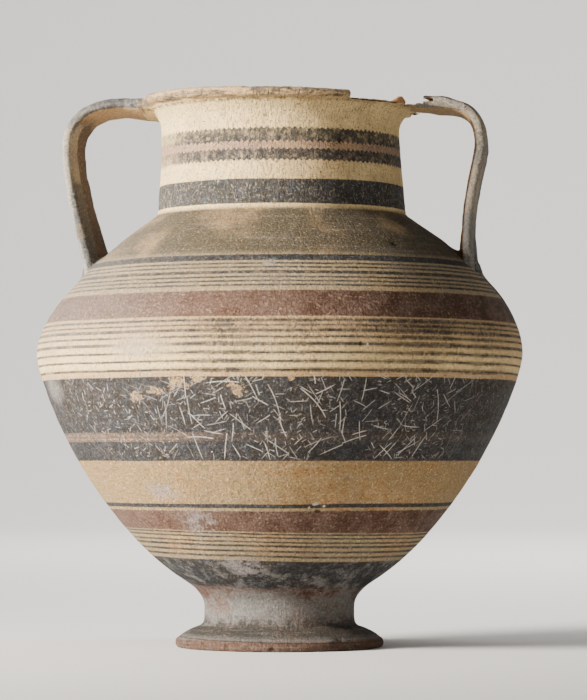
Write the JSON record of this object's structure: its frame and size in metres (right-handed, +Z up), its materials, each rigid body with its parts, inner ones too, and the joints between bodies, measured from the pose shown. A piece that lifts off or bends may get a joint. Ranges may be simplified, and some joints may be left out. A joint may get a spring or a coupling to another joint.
{
  "type": "footed amphora",
  "caption": "Painted earthenware amphora with a wide neck, strap handles from rim to shoulder and a low flaring foot, its rim broken on one side.",
  "frame": {"origin": "on the jar's axis, at the surface that its foot stands on", "axes": "+Z up along the jar's axis, +X towards the handle beside the broken rim, -Y the front"},
  "size_m": [0.3199, 0.3198, 0.3627],
  "materials": {
    "painted_earthenware": "matt"
  },
  "bodies": {
    "root": {"amphora": "painted_earthenware"}
  },
  "joints": []
}
